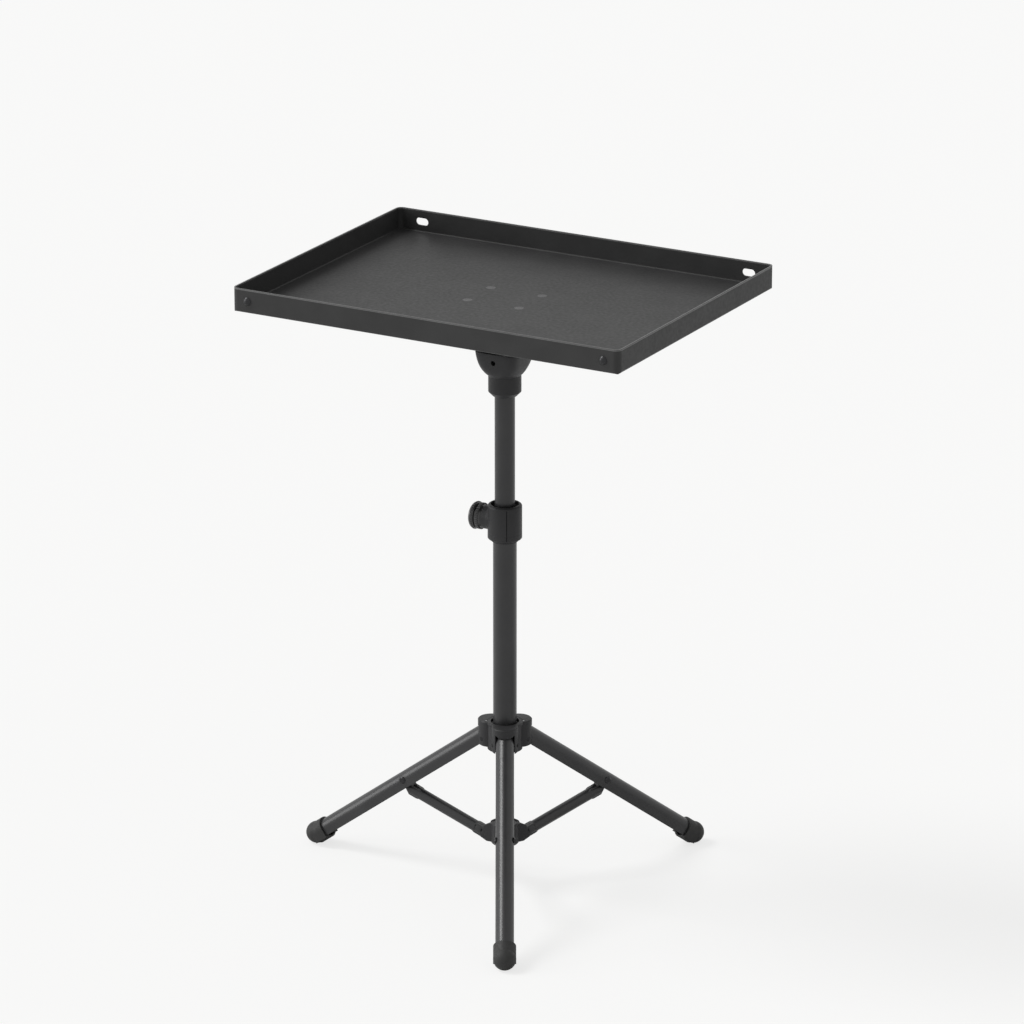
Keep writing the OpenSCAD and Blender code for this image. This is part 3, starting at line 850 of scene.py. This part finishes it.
@dataclass
class Studio:
    """The camera, the pale floor and the soft light."""

    azimuth: float = 29.0329
    elevation: float = 18.8622
    distance: float = 5.8026579
    aim_height: float = 0.3717187
    aim_side: float = 0.0066221
    lens: float = 219.584
    sensor: float = 36.0
    view_limit: float = 200.0
    floor_size: float = 60.0
    floor_colour: Colour = (0.94, 0.94, 0.935)
    backdrop_colour: Colour = (0.95, 0.95, 0.945)
    backdrop_share: float = 0.78
    fill: float = 0.48
    lamp_distance: float = 3.0
    lamps: tuple[Lamp, ...] = (
        Lamp("overhead_softbox", -72.0, 51.0, 1.60, 22.0),
        Lamp("left_softbox", -58.0, 14.0, 1.30, 36.0),
    )

    def build(self) -> None:
        """Sets up the studio."""
        bpy.context.scene.view_settings.view_transform = "Standard"
        self.camera()
        self.floor()
        self.world()
        self.light()

    def camera(self) -> None:
        """Places the camera at the photograph's viewing angle."""
        right = directions(self.azimuth)[0]
        back = self.towards(self.azimuth, self.elevation)
        aim = right * self.aim_side + Vector((0, 0, self.aim_height))
        data = bpy.data.cameras.new("camera")
        data.lens = self.lens
        data.sensor_width = self.sensor
        data.clip_end = self.view_limit
        view = bpy.data.objects.new("camera", data)
        view.location = aim + back * self.distance
        view.rotation_euler = back.to_track_quat("Z", "Y").to_euler()
        bpy.context.scene.collection.objects.link(view)
        bpy.context.scene.camera = view

    @staticmethod
    def towards(azimuth: float, elevation: float) -> Vector:
        """Finds the direction from the stand to a camera or a lamp, from angles in degrees."""
        az, el = math.radians(azimuth), math.radians(elevation)
        return Vector((math.sin(az) * math.cos(el), -math.cos(az) * math.cos(el), math.sin(el)))

    def floor(self) -> None:
        """Lays a plain pale floor."""
        half = self.floor_size / 2
        data = bpy.data.meshes.new("floor")
        corners = [(-half, -half, 0), (half, -half, 0), (half, half, 0), (-half, half, 0)]
        data.from_pydata(corners, [], [(0, 1, 2, 3)])
        paint = bpy.data.materials.new("pale_floor")
        paint.use_nodes = True
        shader = paint.node_tree.nodes["Principled BSDF"]
        shader.inputs["Base Color"].default_value = (*self.floor_colour, 1)
        shader.inputs["Roughness"].default_value = 1.0
        shader.inputs["Specular IOR Level"].default_value = 0.0
        tree = paint.node_tree
        pale = tree.nodes.new("ShaderNodeEmission")
        pale.inputs["Color"].default_value = (*self.backdrop_colour, 1)
        rays = tree.nodes.new("ShaderNodeLightPath")
        share = tree.nodes.new("ShaderNodeMath")
        share.operation = "MULTIPLY"
        share.inputs[1].default_value = self.backdrop_share
        tree.links.new(rays.outputs["Is Camera Ray"], share.inputs[0])
        mix = tree.nodes.new("ShaderNodeMixShader")
        tree.links.new(share.outputs["Value"], mix.inputs["Fac"])
        tree.links.new(shader.outputs["BSDF"], mix.inputs[1])
        tree.links.new(pale.outputs["Emission"], mix.inputs[2])
        tree.links.new(mix.outputs["Shader"], tree.nodes["Material Output"].inputs["Surface"])
        data.materials.append(paint)
        ground = bpy.data.objects.new("floor", data)
        bpy.context.scene.collection.objects.link(ground)

    def world(self) -> None:
        """Fills the room with even light and shows a white room to the camera and in reflections."""
        world = bpy.data.worlds.new("white_room")
        bpy.context.scene.world = world
        world.use_nodes = True
        tree = world.node_tree
        lit = tree.nodes["Background"]
        lit.inputs["Color"].default_value = (1, 1, 1, 1)
        lit.inputs["Strength"].default_value = self.fill
        seen = tree.nodes.new("ShaderNodeBackground")
        seen.inputs["Color"].default_value = (*self.floor_colour, 1)
        rays = tree.nodes.new("ShaderNodeLightPath")
        seen_by = rays.outputs["Is Camera Ray"]
        for kind in ("Is Glossy Ray", "Is Transmission Ray"):
            most = tree.nodes.new("ShaderNodeMath")
            most.operation = "MAXIMUM"
            tree.links.new(seen_by, most.inputs[0])
            tree.links.new(rays.outputs[kind], most.inputs[1])
            seen_by = most.outputs["Value"]
        mix = tree.nodes.new("ShaderNodeMixShader")
        tree.links.new(seen_by, mix.inputs["Fac"])
        tree.links.new(lit.outputs["Background"], mix.inputs[1])
        tree.links.new(seen.outputs["Background"], mix.inputs[2])
        tree.links.new(mix.outputs["Shader"], tree.nodes["World Output"].inputs["Surface"])

    def light(self) -> None:
        """Hangs the soft lamps."""
        for lamp in self.lamps:
            data = bpy.data.lights.new(lamp.name, "SUN")
            data.energy = lamp.strength
            data.angle = math.radians(lamp.spread)
            towards = self.towards(lamp.azimuth, lamp.elevation)
            holder = bpy.data.objects.new(lamp.name, data)
            holder.location = towards * self.lamp_distance
            holder.rotation_euler = towards.to_track_quat("Z", "Y").to_euler()
            bpy.context.scene.collection.objects.link(holder)


def main() -> None:
    """Builds the studio and dresses the stand."""
    Studio().build()
    for assembly in (Base(), Column(), Head(), Tray()):
        assembly.build()
        log.info("%s is finished", type(assembly).__name__)


if __name__ == "__main__":
    main()
